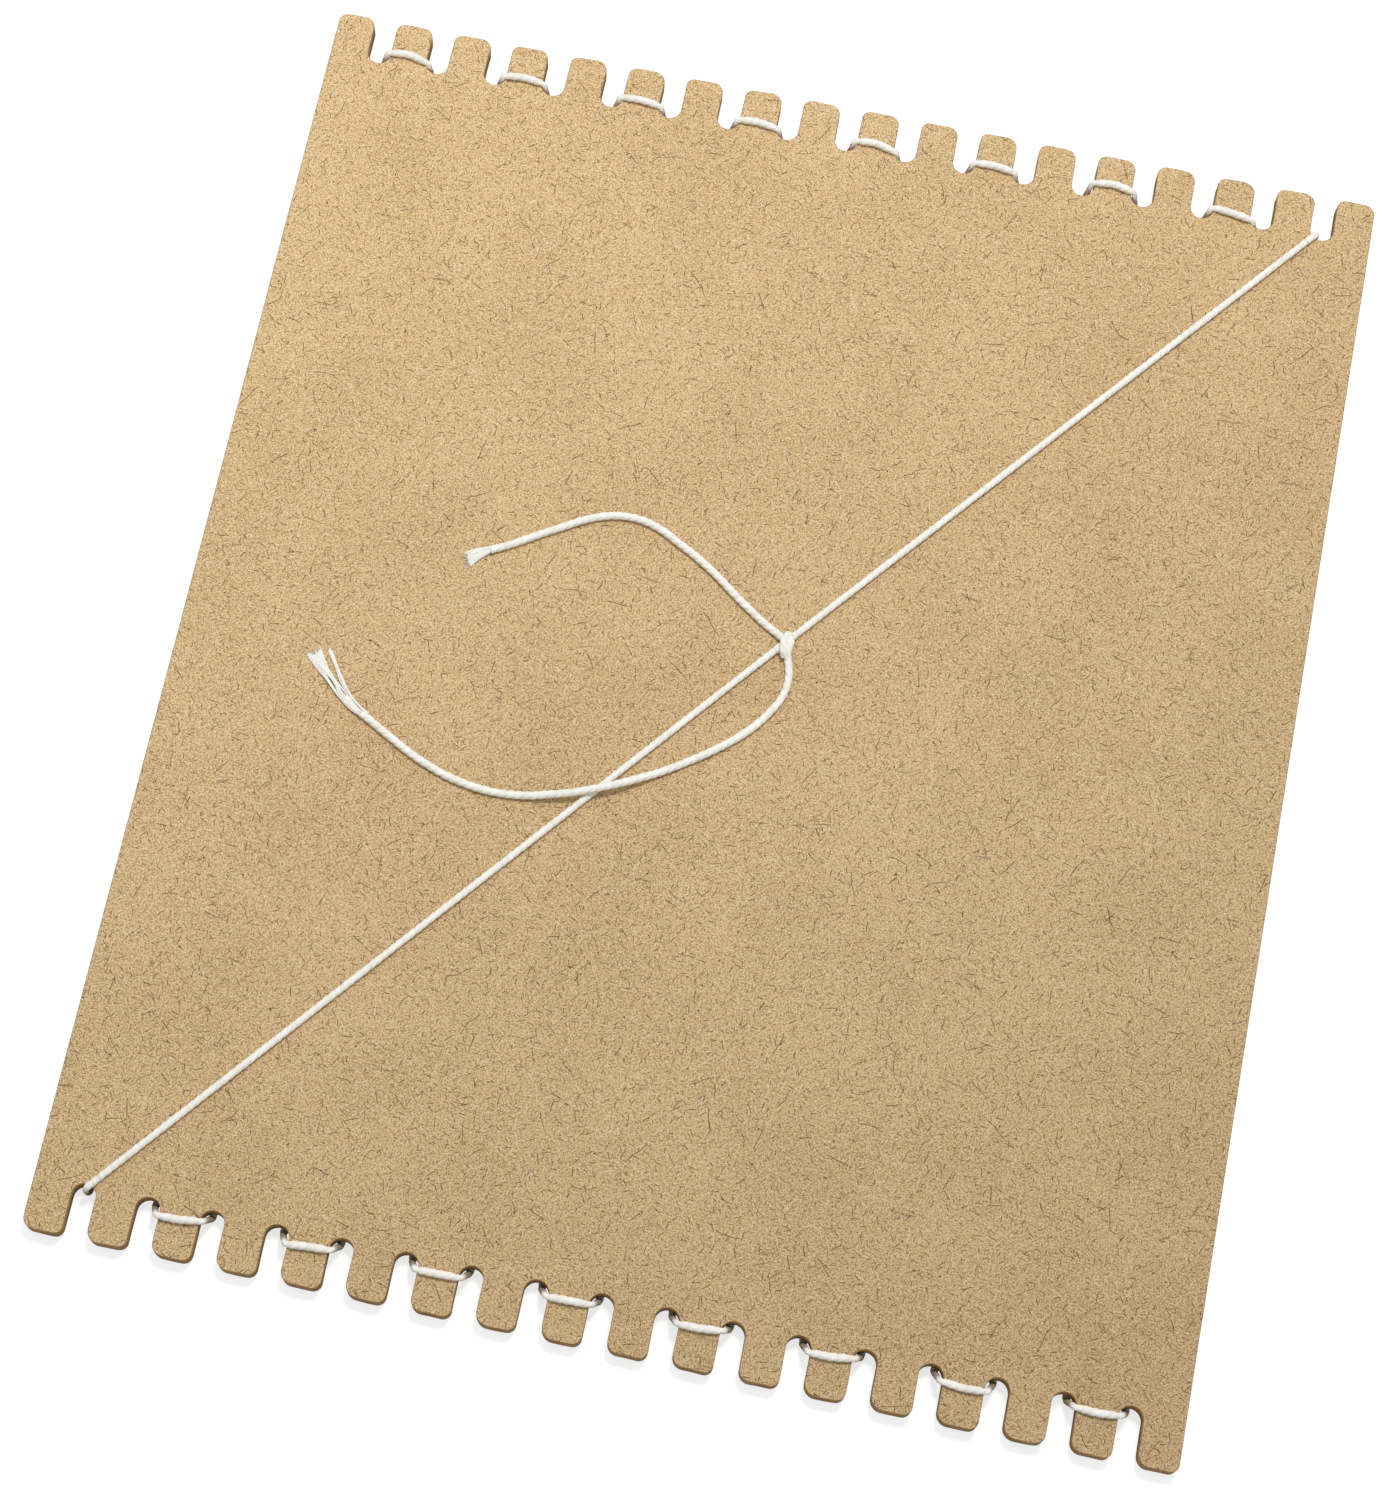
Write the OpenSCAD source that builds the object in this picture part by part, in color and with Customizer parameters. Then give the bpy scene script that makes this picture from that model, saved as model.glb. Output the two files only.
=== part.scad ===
// Potholder loom: a flat notched board, warped with one cotton cord that is tied on its back.
// The loom lies face down. +Z is up, +X runs along the toothed edges, +Y towards the far one.
// The origin is the middle of the board, at the height of the surface that it lies on.

/* [Board] */
// Number of tabs along each toothed edge, an even number
tab_count = 18; // [8:2:24]
// Distance from the middle of one tab to the middle of the next
tab_pitch = 11; // [9:0.5:14]
// Width of each slot between two tabs
slot_w = 4.15; // [3.4:0.05:5.5]
// Depth of each slot below the tips of the tabs
slot_depth = 9; // [6.5:0.05:12]
// Length of the board from tab tips to tab tips
board_len = 233; // [180:0.5:300]
// Thickness of the board
board_t = 3.2; // [2:0.1:4.8]
// Radius of the outer corners of the tabs
tab_corner_r = 1.9; // [0.4:0.1:2.4]

/* [Cord] */
// Diameter of the warp cord
cord_d = 1.4; // [1:0.1:1.8]
// Clearance between the cord and the edges that it bends round
cord_gap = 0.05; // [0.03:0.01:0.15]
// How far the bridges on the back bow out past the slot ends
bridge_bow = 2.4; // [1.8:0.05:2.9]

/* [Knot] */
// Thickness of the knot
knot_h = 2.5; // [2:0.1:3.6]
// How much longer the knot is than it is thick
knot_stretch = 1.6; // [0:0.1:3]

/* [Frayed ends] */
// Width that the short tail's end fans out to
short_fan_w = 3.2; // [2:0.1:5]
// Width that the long tail's main bunch fans out to
long_fan_w = 3; // [2:0.1:5]

/* [Hidden] */

$fn = 48;
board_colour = [0.82, 0.69, 0.52];
cord_colour = [0.93, 0.92, 0.88];

// The board stands on the front strands, which the floor presses flat by a tenth of their diameter.
slot_count = tab_count - 1;
tab_w = tab_pitch - slot_w;
slot_r = slot_w / 2;
slot_end_y = board_len / 2 - slot_depth;
cord_r = cord_d / 2;
flat_cut = cord_d / 10;
strand_z = cord_r - flat_cut;
board_z = strand_z + cord_r;
board_top = board_z + board_t;
bend_r = cord_r + cord_gap;
corner_r = bend_r / cos(22.5);
lie_z = board_top + bend_r;
seat_r = slot_r - bend_r;
cut_over = 1;

// Sides of a wound cord and of a free one, and the turns that lay a flat of each one down
winding_sides = 6;
winding_phase = 0;
tube_sides = 8;
tube_phase = 180 / tube_sides;

// Straight stretch at each end of the winding, and the rings in each taut tie
end_run = cord_d;
tie_rings = 15;

// How far the winding's lower end stands round its slot's end, from the straight way to the knot
lower_turn = 34;

// Places on the back that the four cord ends leave the knot at, and the middle of the knot
knot_at = [8, 10.4];
stub_len = 0.5;
lower_port = [6.1, 8.9];
upper_port = [9.1, 12.5];
short_port = [6.2, 11.9];
long_port = [8.7, 7.7];

// Centre lines of the two tails on the back, chosen points from the knot outwards
short_tail = [
    short_port, [3.5, 13.4], [0.5, 15.4], [-2.5, 17.5], [-5.5, 19.8], [-8.5, 21.9], [-11.5, 23.7],
    [-14.5, 25.3], [-17.5, 26.9], [-21, 28], [-24.5, 28.2], [-28, 27.5], [-31.5, 26], [-34.5, 24.2],
    [-37.5, 22.4], [-40.5, 20.5], [-43.5, 18.6], [-46.5, 17]
];
long_tail = [
    long_port, [9.4, 4.5], [9, 0.8], [7.2, -2.8], [5, -5.9], [2.5, -8.5], [-0.5, -11.1],
    [-3.5, -13.4], [-6.5, -15.5], [-9.5, -17.5], [-12.8, -19.5], [-16.2, -21.4], [-19.6, -23],
    [-23, -24.3], [-26.5, -25.2], [-30, -26], [-33.8, -26.5], [-37.6, -26.6], [-41.3, -26.2],
    [-45, -25.4], [-48.5, -24.2], [-52, -22.7], [-55.2, -21], [-58.5, -19.2], [-61.8, -17.4]
];
// Where it lies over the lower tie, the long tail rises and falls over this many points of its list
hump_reach = 4;
hump_gap = 0.2;

// The unravelled ends, from the tails outwards: place, width and height of the bunch of threads
fan_h = 0.9;
wisp_w = 0.9;
short_fan = [
    [[-46.5, 17], cord_d, cord_d],
    [[-47.7, 16.36], cord_d, cord_d],
    [[-49, 15.66], short_fan_w * 0.7, fan_h],
    [[-50.2, 14.84], short_fan_w, fan_h]
];
long_fan = [
    [[-61.8, -17.4], cord_d, cord_d],
    [[-63.45, -16.5], cord_d, cord_d],
    [[-66.3, -14.1], cord_d * 1.2, fan_h],
    [[-69.5, -11.3], long_fan_w * 0.7, fan_h],
    [[-72.8, -8.1], long_fan_w, fan_h]
];
long_wisp = [
    [[-65.6, -14], wisp_w, fan_h],
    [[-67.3, -10.9], wisp_w, fan_h],
    [[-69.8, -7], wisp_w, fan_h]
];

function unit(v) = v / norm(v);
function spot(xy, z) = [xy.x, xy.y, z];
function slot_x(i) = (i - (slot_count - 1) / 2) * tab_pitch;
function last(list) = list[len(list) - 1];
function reversed(list) = [for (i = [len(list) - 1:-1:0]) list[i]];

// Middle of the round end of slot i, on the edge that side (1 or -1) points to
function slot_eye(i, side) = [slot_x(i), side * (slot_end_y + slot_r)];

// Where the cord stands in that slot when it is pulled towards the direction pull
function seat(i, side, pull) = slot_eye(i, side) + unit(pull) * seat_r;

// One end of a bridge on the edge that side points to: from the strand below slot i, up through the
// slot and on to the tab that lies in direction along (1 or -1). Each entry is a point and the tilt of
// the cord there, from 0 under the board to 90 in the slot and on the back.
function bridge_end(i, side, along) =
    let (
        s = seat(i, side, [along, -side]),
        low = s.y - side * bend_r,
        rise = slot_r - seat_r * cos(45)
    ) [
        [[s.x, low, strand_z - cord_gap / 2], 0],
        [[s.x, s.y - side * (bend_r - corner_r * cos(45)), board_z - corner_r * sin(45)], 45],
        [[s.x, s.y, board_z + board_t / 4], 90],
        [[s.x, s.y, board_top], 90],
        [[s.x + along * rise / 2, s.y + side * rise / 4, lie_z], 90],
        [
            [
                slot_x(i) + along * (slot_r + bend_r),
                side * (slot_end_y + bridge_bow),
                lie_z
            ],
            90
        ]
    ];

// The bridge over the tab between slots i and i + 1
function bridge(i, side) = concat(bridge_end(i, side, 1), reversed(bridge_end(i + 1, side, -1)));

function turned(v, a) = [v.x * cos(a) - v.y * sin(a), v.x * sin(a) + v.y * cos(a)];

// The end of the winding in slot i, from the strand below, over the slot's end and towards port
function winding_end(i, side, port, turn) =
    let (
        s = seat(i, side, turned(port - slot_eye(i, side), turn)),
        pull = unit(port - s),
        over = s + pull * bend_r
    ) [
        [[s.x, s.y - side * bend_r, strand_z - cord_gap / 2], 0],
        [[s.x, s.y - side * (bend_r - corner_r * cos(45)), board_z - corner_r * sin(45)], 45],
        [[s.x, s.y, board_z], 90],
        [[s.x, s.y, board_top], 90],
        [spot(s + pull * (bend_r - corner_r * cos(45)), board_top + corner_r * sin(45)), 135],
        [spot(over, lie_z), 180],
        [spot(over + pull * cord_r, lie_z), 180],
        [spot(over + pull * (cord_r + end_run), lie_z), 180]
    ];

lower_end = winding_end(0, -1, lower_port, lower_turn);
upper_end = winding_end(slot_count - 1, 1, upper_port, 0);
lower_start = last(lower_end)[0];
upper_start = last(upper_end)[0];

// The whole winding: up from the lower end, round every second tab at each edge in turn
winding_route = concat(
    reversed(lower_end),
    [for (i = [0:slot_count - 2]) each bridge(i, i % 2 == 0 ? 1 : -1)],
    upper_end
);
winding_points = [for (p = winding_route) p[0]];
winding_tilts = [for (p = winding_route) p[1]];

// Direction of a route at each of its points
function headings(pts) = [
    for (i = [0:len(pts) - 1]) unit(pts[min(i + 1, len(pts) - 1)] - pts[max(i - 1, 0)])
];

// The cord's upper side, which leans over with its tilt towards the middle of the board
function upper_side(p, tilt) = [0, -sign(p.y) * sin(tilt), cos(tilt)];

// One ring of a cord: sides points round p, half_w to each side and half_h up and down
function ring(p, heading, up, half_w, half_h, sides, phase) =
    let (
        right = unit(cross(heading, up)),
        top = cross(right, heading)
    ) [
        for (k = [0:sides - 1])
            let (a = phase + 360 * k / sides) p + right * half_w * cos(a) + top * half_h * sin(a)
    ];

// A closed skin of triangles over rings of the same number of points
module skin(rings) {
    sides = len(rings[0]);
    far_ring = len(rings) - 1;
    walls = [
        for (i = [0:far_ring - 1], k = [0:sides - 1])
            let (
                a = i * sides + k,
                b = i * sides + (k + 1) % sides,
                c = a + sides,
                d = b + sides
            ) each [[a, b, d], [a, d, c]]
    ];
    near_cap = [for (k = [1:sides - 2]) [0, k + 1, k]];
    far_cap = [for (k = [1:sides - 2]) [0, k, k + 1] + far_ring * sides * [1, 1, 1]];
    polyhedron(points = [for (r = rings) each r], faces = concat(walls, near_cap, far_cap));
}

// A free cord that lies on the board, along a list of points
module tube(pts) {
    way = headings(pts);
    skin([
        for (i = [0:len(pts) - 1]) ring(pts[i], way[i], [0, 0, 1], cord_r, cord_r, tube_sides, tube_phase)
    ]);
}

// A flattening bunch of threads on the board, along a list of places with widths and heights
module bunch(fan) {
    pts = [for (f = fan) spot(f[0], board_top + cord_gap + f[2] / 2)];
    way = headings(pts);
    skin([
        for (i = [0:len(fan) - 1])
            ring(pts[i], way[i], [0, 0, 1], fan[i][1] / 2, fan[i][2] / 2, tube_sides, tube_phase)
    ]);
}

// Cord through the knot from port a to port b, in line with the cords that go on beyond them
function through_knot(port_a, beyond_a, port_b, beyond_b) =
    let (
        a = spot(port_a, lie_z),
        b = spot(port_b, lie_z)
    ) [a, a + unit(a - beyond_a) * stub_len, b + unit(b - beyond_b) * stub_len, b];

function tail_points(places) = [for (p = places) spot(p, lie_z)];

// Points of the long tail's list that are nearest to where it crosses the line of the lower tie
tie_way = [for (k = [0, 1]) lower_port[k] - lower_start[k]];
tail_sides = [for (p = long_tail) cross(tie_way, p - lower_port)];
crossings = [
    for (i = [0:len(long_tail) - 2])
        if (sign(tail_sides[i]) != sign(tail_sides[i + 1]))
            round(i + tail_sides[i] / (tail_sides[i] - tail_sides[i + 1]))
];

// Height that the long tail rises to at its point i, where it lies over the lower tie
function hump(i) = max([
    0,
    for (c = crossings)
        if (abs(i - c) < hump_reach) (cord_d + hump_gap) * (1 + cos(180 * (i - c) / hump_reach)) / 2
]);

// Even points along a taut tie, from the end of the winding to the knot
function tie_points(from, to) = [for (i = [0:tie_rings - 1]) from + (to - from) * i / (tie_rings - 1)];

// Points to measure the winding on, each stretch cut into pieces of about one pitch
function measured(pts) = [
    for (i = [0:len(pts) - 2])
        let (n = ceil(norm(pts[i + 1] - pts[i]) / tab_pitch))
        for (k = [0:n - 1]) pts[i] + (pts[i + 1] - pts[i]) * k / n
];

// How far along a route each of its points lies
function lengths_to(pts) = [
    for (i = 0, s = 0; i < len(pts); i = i + 1, s = i < len(pts) ? s + norm(pts[i] - pts[i - 1]) : s) s
];

// Least gap of a cord to itself, between points more than apart from each other along it
function least_gap(pts, apart) =
    let (s = lengths_to(pts))
    min([
        for (i = [0:len(pts) - 2], k = [i + 1:len(pts) - 1])
            if (s[k] - s[i] > apart) norm(pts[k] - pts[i])
    ]) - cord_d;

// Outline of a tab on the far edge, rounded at its two outer corners
module tab_shape() {
    top = board_len / 2;
    foot = slot_end_y;
    r = tab_corner_r;
    union() {
        translate([-tab_w / 2, foot]) square([tab_w, slot_depth - r]);
        translate([-tab_w / 2 + r, foot]) square([tab_w - 2 * r, slot_depth]);
        for (side = [-1, 1]) translate([side * (tab_w / 2 - r), top - r]) circle(r);
    }
}

// The material left in the two corners of a slot by its round end
module slot_foot_shape() {
    difference() {
        translate([-tab_pitch / 2, slot_end_y - cut_over]) square([tab_pitch, slot_r + cut_over]);
        translate([0, slot_end_y + slot_r]) circle(slot_r);
    }
}

module toothed_edge_shape() {
    for (i = [0:tab_count - 1]) translate([(i - (tab_count - 1) / 2) * tab_pitch, 0]) tab_shape();
    for (i = [0:slot_count - 1]) translate([slot_x(i), 0]) slot_foot_shape();
}

module loom_board() {
    board_w = (tab_count - 1) * tab_pitch + tab_w;
    color(board_colour)
    translate([0, 0, board_z])
    linear_extrude(board_t)
    union() {
        square([board_w, 2 * slot_end_y], center = true);
        toothed_edge_shape();
        mirror([0, 1]) toothed_edge_shape();
    }
}

// Strands, bridges and both ends in one tube, pressed flat where it stands on the surface
module warp_winding() {
    way = headings(winding_points);
    echo(least_gap_of_winding_to_itself = least_gap(measured(winding_points), 3 * cord_d));
    color(cord_colour)
    skin([
        for (i = [0:len(winding_points) - 1])
            let (
                p = winding_points[i],
                r = ring(p, way[i], upper_side(p, winding_tilts[i]), cord_r, cord_r, winding_sides,
                    winding_phase)
            ) [for (q = r) [q.x, q.y, max(q.z, 0)]]
    ]);
}

module tie_strand_lower() {
    color(cord_colour) tube(tie_points(lower_start, spot(lower_port, lie_z)));
}

module tie_strand_upper() {
    color(cord_colour) tube(tie_points(upper_start, spot(upper_port, lie_z)));
}

// A small tight lump, with the cord running into it at each of its four ports
module warp_knot() {
    body_r = knot_h / 2;
    body_way = unit(long_port - short_port);
    color(cord_colour)
    union() {
        hull() {
            for (s = [-1, 1]) {
                translate(spot(knot_at + s * body_way * knot_stretch / 2, board_top + cord_gap + body_r))
                ball(body_r);
            }
        }
        tube(through_knot(lower_port, lower_start, upper_port, upper_start));
        tube(through_knot(short_port, spot(short_tail[1], lie_z), long_port, spot(long_tail[1], lie_z)));
    }
}

module ball(r) {
    sphere(r, $fn = 16);
}

module tail_short() {
    color(cord_colour) tube(tail_points(short_tail));
}

module tail_long() {
    color(cord_colour) tube([for (i = [0:len(long_tail) - 1]) spot(long_tail[i], lie_z + hump(i))]);
}

module fray_short() {
    color(cord_colour) bunch(short_fan);
}

module fray_long() {
    color(cord_colour)
    union() {
        bunch(long_fan);
        bunch(long_wisp);
    }
}

loom_board();
warp_winding();
tie_strand_lower();
tie_strand_upper();
warp_knot();
tail_short();
tail_long();
fray_short();
fray_long();
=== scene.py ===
"""A potholder loom that lies face down: a notched board of pressed fibre, warped with one cotton cord
whose two ends are tied together across the board's back. All lengths are in metres."""
import math
import random

import bpy
import numpy as np
from mathutils import Matrix, Vector, noise


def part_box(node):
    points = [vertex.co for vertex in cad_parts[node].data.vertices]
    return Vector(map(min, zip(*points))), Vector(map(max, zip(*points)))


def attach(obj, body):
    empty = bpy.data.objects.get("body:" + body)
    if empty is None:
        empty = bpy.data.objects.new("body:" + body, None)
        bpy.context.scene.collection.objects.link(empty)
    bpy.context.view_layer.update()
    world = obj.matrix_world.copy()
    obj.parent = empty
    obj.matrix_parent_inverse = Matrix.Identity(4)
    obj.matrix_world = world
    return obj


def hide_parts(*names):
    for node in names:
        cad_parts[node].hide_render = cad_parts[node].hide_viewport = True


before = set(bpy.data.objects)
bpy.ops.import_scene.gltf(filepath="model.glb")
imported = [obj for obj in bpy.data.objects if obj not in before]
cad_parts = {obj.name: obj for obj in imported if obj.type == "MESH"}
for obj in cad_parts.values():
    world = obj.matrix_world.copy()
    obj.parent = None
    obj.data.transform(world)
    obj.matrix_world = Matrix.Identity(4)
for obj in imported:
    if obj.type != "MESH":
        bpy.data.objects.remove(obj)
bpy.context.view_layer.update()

UP = Vector((0, 0, 1))

# The board, as the frame holds it, and its toothed edges
BOARD_LOW, BOARD_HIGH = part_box("loom_board")
TAB_PITCH = 0.011
TAB_COUNT = 18
SLOT_COUNT = TAB_COUNT - 1
SLOT_R = 0.00415 / 2
SLOT_DEPTH = 0.009
SLOT_END_Y = BOARD_HIGH.y - SLOT_DEPTH
TAB_HALF = TAB_PITCH / 2 - SLOT_R
LEFT_CORNER_R = 0.0015
RIGHT_CORNER_R = 0.0020

# The cord, and the height of its middle where it lies on the board and where it lies under it
CORD_D = 0.0014
CORD_R = CORD_D / 2
CORD_GAP = 0.00005
BEND_R = CORD_R + CORD_GAP
BEND_SLOPE = BEND_R * (1 - math.cos(math.radians(45)))
SEAT_R = SLOT_R - BEND_R
STRAND_Z = CORD_R - CORD_D / 10 - CORD_GAP / 2
LIE_Z = BOARD_HIGH.z + BEND_R
END_RUN = CORD_R + CORD_D

# Places where the four cord ends leave the knot, as in the part's source
LOWER_PORT = (0.0061, 0.0089)
UPPER_PORT = (0.0091, 0.0125)
SHORT_PORT = (0.0062, 0.0119)
LONG_PORT = (0.0087, 0.0077)

# Centre lines of the two tails on the back, as in the part's source
SHORT_TAIL = [
    SHORT_PORT, (0.0035, 0.0134), (0.0005, 0.0154), (-0.0025, 0.0175), (-0.0055, 0.0198),
    (-0.0085, 0.0219), (-0.0115, 0.0237), (-0.0145, 0.0253), (-0.0175, 0.0269), (-0.021, 0.028),
    (-0.0245, 0.0282), (-0.028, 0.0275), (-0.0315, 0.026), (-0.0345, 0.0242), (-0.0375, 0.0224),
    (-0.0405, 0.0205), (-0.0435, 0.0186), (-0.0465, 0.017),
]
LONG_TAIL = [
    LONG_PORT, (0.0094, 0.0045), (0.009, 0.0008), (0.0072, -0.0028), (0.005, -0.0059),
    (0.0025, -0.0085), (-0.0005, -0.0111), (-0.0035, -0.0134), (-0.0065, -0.0155),
    (-0.0095, -0.0175), (-0.0128, -0.0195), (-0.0162, -0.0214), (-0.0196, -0.023),
    (-0.023, -0.0243), (-0.0265, -0.0252), (-0.03, -0.026), (-0.0338, -0.0265), (-0.0376, -0.0266),
    (-0.0413, -0.0262), (-0.045, -0.0254), (-0.0485, -0.0242), (-0.052, -0.0227),
    (-0.0552, -0.021), (-0.0585, -0.0192), (-0.0618, -0.0174),
]
# The long tail is highest at this point of its list, where it lies over the lower tie
HUMP_AT = 12
HUMP_REACH = 4
HUMP_GAP = 0.0002
HUMP_HEIGHT = CORD_D + HUMP_GAP


# Camera

CAMERA_PLACE = (0.01458, -0.20216, 0.578)
CAMERA_RIGHT = (0.977823, 0.209383, -0.004536)
CAMERA_UP = (-0.19735, 0.928447, 0.314706)
CAMERA_LENS = 83.7466
CAMERA_SHIFT = 0.091502
SENSOR_WIDTH = 36


def make_camera():
    """The photograph's view of the board's back, from above its near edge."""
    data = bpy.data.cameras.new("camera")
    data.lens = CAMERA_LENS
    data.sensor_width = SENSOR_WIDTH
    data.shift_x = CAMERA_SHIFT
    data.clip_start = 0.01
    camera = bpy.data.objects.new("camera", data)
    bpy.context.scene.collection.objects.link(camera)
    right = Vector(CAMERA_RIGHT).normalized()
    back = right.cross(Vector(CAMERA_UP)).normalized()
    turn = Matrix((right, back.cross(right), back)).transposed()
    camera.matrix_world = Matrix.Translation(CAMERA_PLACE) @ turn.to_4x4()
    bpy.context.scene.camera = camera


# Lines and tubes

def smooth(points, step):
    """Points about step apart on a smooth curve through the given ones."""
    p = np.array([tuple(q) for q in points], float)
    p = np.vstack([2 * p[0] - p[1], p, 2 * p[-1] - p[-2]])
    knots = np.concatenate([[0], np.cumsum(np.sqrt(np.linalg.norm(np.diff(p, axis=0), axis=1)))])
    pieces = []
    for i in range(1, len(p) - 2):
        t0, t1, t2, t3 = knots[i - 1:i + 3]
        t = np.linspace(t1, t2, 24, endpoint=False)[:, None]
        a = ((t1 - t) * p[i - 1] + (t - t0) * p[i]) / (t1 - t0)
        b = ((t2 - t) * p[i] + (t - t1) * p[i + 1]) / (t2 - t1)
        c = ((t3 - t) * p[i + 1] + (t - t2) * p[i + 2]) / (t3 - t2)
        d = ((t2 - t) * a + (t - t0) * b) / (t2 - t0)
        e = ((t3 - t) * b + (t - t1) * c) / (t3 - t1)
        pieces.append(((t2 - t) * d + (t - t1) * e) / (t2 - t1))
    return evened(np.vstack([*pieces, p[-2:-1]]), step)


def lengths_along(line):
    return np.concatenate([[0], np.cumsum(np.linalg.norm(np.diff(line, axis=0), axis=1))])


def evened(line, step):
    """The same line with its points about step apart."""
    along = lengths_along(line)
    at = np.linspace(0, along[-1], max(3, round(along[-1] / step) + 1))
    return np.stack([np.interp(at, along, line[:, k]) for k in range(3)], axis=1)


def frames_along(line, normal):
    """Directions, and normals that turn with the line without twisting, from the first normal on."""
    ways = np.gradient(line, axis=0)
    ways /= np.linalg.norm(ways, axis=1)[:, None]
    normals = np.empty_like(line)
    n = np.array(normal, float)
    for i, way in enumerate(ways):
        n = n - way * (n @ way)
        n = n / np.linalg.norm(n)
        normals[i] = n
    return ways, normals


# Cords: three plies laid round each other, each of them pressed flat against the other two

PLIES = 3
PLY_OFFSET = 0.24
PLY_R = 0.78
CORD_LAY = 0.0043
FREE_STEP = 0.00025
SLUB = 0.05
SLUB_LENGTH = 0.004

# How thick the cord shows: full where it is slack, and drawn thinner where it is pulled taut
WARP_R = 0.00069
TAIL_R = 0.00069
TIE_R = 0.00062
SLOT_CORD_R = 0.00054


def ply_outline(per_ply):
    """Angles and radius shares of the outline of a cord that has per_ply points for each ply."""
    count = PLIES * per_ply
    angles = np.arange(count) * math.tau / count
    off = (angles + math.pi / PLIES) % (math.tau / PLIES) - math.pi / PLIES
    return angles, PLY_OFFSET * np.cos(off) + np.sqrt(PLY_R**2 - (PLY_OFFSET * np.sin(off)) ** 2)


def round_outline(count):
    return np.arange(count) * math.tau / count, np.ones(count)


def sweep(line, outline, radius, normal=UP, turn=0.0, lay=None, least_z=None):
    """A closed tube along a line, as points, faces and each point's place on the straightened tube.
    radius is one number or one for each point of the line. The outline turns once in each lay."""
    angles, shares = outline
    along = lengths_along(line)
    ways, normals = frames_along(line, normal)
    sides = np.cross(ways, normals)
    turns = turn - (math.tau * along / lay if lay else 0 * along)
    where = line[0] / SLUB_LENGTH
    slubs = np.array([1 + SLUB * noise.noise((s / SLUB_LENGTH, where[0], where[1])) for s in along])
    radii = (np.ones(len(line)) * radius * slubs)[:, None] * shares
    at = turns[:, None] + angles
    points = (
        line[:, None]
        + (radii * np.cos(at))[..., None] * normals[:, None]
        + (radii * np.sin(at))[..., None] * sides[:, None]
    )
    if least_z is not None:
        points[..., 2] = np.maximum(points[..., 2], least_z)
    straight = np.stack(
        [radii * np.cos(angles), radii * np.sin(angles), np.broadcast_to(along[:, None], radii.shape)],
        axis=-1,
    )
    count, rings = len(angles), len(line)
    k = np.arange(count)
    first = (np.arange(rings - 1) * count)[:, None]
    after = (k + 1) % count
    corners = (first + k, first + after, first + count + after, first + count + k)
    quads = np.stack(np.broadcast_arrays(*corners), axis=-1).reshape(-1, 4)
    return {
        "points": points.reshape(-1, 3),
        "straight": straight.reshape(-1, 3),
        "faces": quads.tolist() + [k[::-1].tolist(), ((rings - 1) * count + k).tolist()],
        "last_normal": normals[-1],
        "last_turn": turns[-1],
    }


def make_piece(name, tubes, material):
    """One object made of tubes, riding on the only body."""
    points, straight, faces, start = [], [], [], 0
    for tube in tubes:
        points.append(tube["points"])
        straight.append(tube["straight"])
        faces += [[start + v for v in face] for face in tube["faces"]]
        start += len(tube["points"])
    mesh = bpy.data.meshes.new(name)
    mesh.from_pydata(np.vstack(points).tolist(), [], faces)
    place = mesh.attributes.new("straight", "FLOAT_VECTOR", "POINT")
    place.data.foreach_set("vector", np.vstack(straight).astype(np.float32).ravel())
    mesh.shade_smooth()
    mesh.materials.append(material)
    piece = bpy.data.objects.new(name, mesh)
    bpy.context.scene.collection.objects.link(piece)
    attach(piece, "root")
    return piece


# The winding: strands under the board, and bridges over every second tab of each edge

STRAND_EVERY = 3
STRAIGHT_FROM = 0.003
THINNING = 0.002

# How far the lower end of the cord is turned on its slot's end, in degrees, as in the part's source
LOWER_TURN = 34

# Depths in the board, as shares from its underside up, where an end of the winding lies on its slot's end
END_DEPTHS = (0.25, 0.85)

# The rise of a bridge's cord through its slot, measured off the slot's middle towards the tab, and past
# the slot's end or the edge where the cord turns over onto the tab
STRAND_OFF = 0.00062
BEND_PAST = 0.00045
LOW_OFF = 0.00066
LOW_PAST = 0.00078
LOW_RISE = 0.0002
RISE_SHARES = (0.45, 0.8)
HIGH_BACK = 0.00025
TURN_OFF = 0.00045
TURN_BACK = 0.00012
TURN_RISE = 0.00038
OVER_OFF = 0.00015
ON_TAB_OFF = 0.001175
EDGE_SHARE = 0.45

# How far past the slots' ends each bridge crosses its tab, in millimetres: left of the middle of the
# tab, in the middle and right of it
BRIDGES = [
    (2.40, 2.55, 2.02), (2.58, 2.55, 2.26), (2.14, 2.30, 2.04), (2.68, 2.48, 2.36),
    (2.20, 2.24, 1.96), (2.45, 2.42, 2.36), (2.14, 2.22, 1.90), (2.28, 2.24, 2.18),
    (2.32, 2.40, 1.84), (2.22, 2.20, 1.98), (2.34, 2.40, 2.10), (2.32, 2.28, 1.98),
    (2.94, 3.14, 2.70), (2.56, 2.76, 2.64), (2.14, 1.88, 1.48), (2.06, 2.16, 1.98),
]


def slot_x(i):
    return (i - (SLOT_COUNT - 1) / 2) * TAB_PITCH


def slot_eye(i, side):
    return Vector((slot_x(i), side * (SLOT_END_Y + SLOT_R), 0))


def under_edge(bearing, side):
    """The strand below the board, and the cord as it bends round the underside of a slot's end."""
    return [
        Vector((bearing.x, bearing.y - side * STRAIGHT_FROM, STRAND_Z)),
        Vector((bearing.x, bearing.y - side * BEND_R, STRAND_Z)),
        Vector((bearing.x, bearing.y - side * BEND_SLOPE, BOARD_LOW.z - BEND_SLOPE)),
    ]


def at_depth(place, share):
    """The place at a height in the slot, from 0 at the board's underside to 1 at its upper side."""
    return Vector((place.x, place.y, BOARD_LOW.z + share * (BOARD_HIGH.z - BOARD_LOW.z)))


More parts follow.
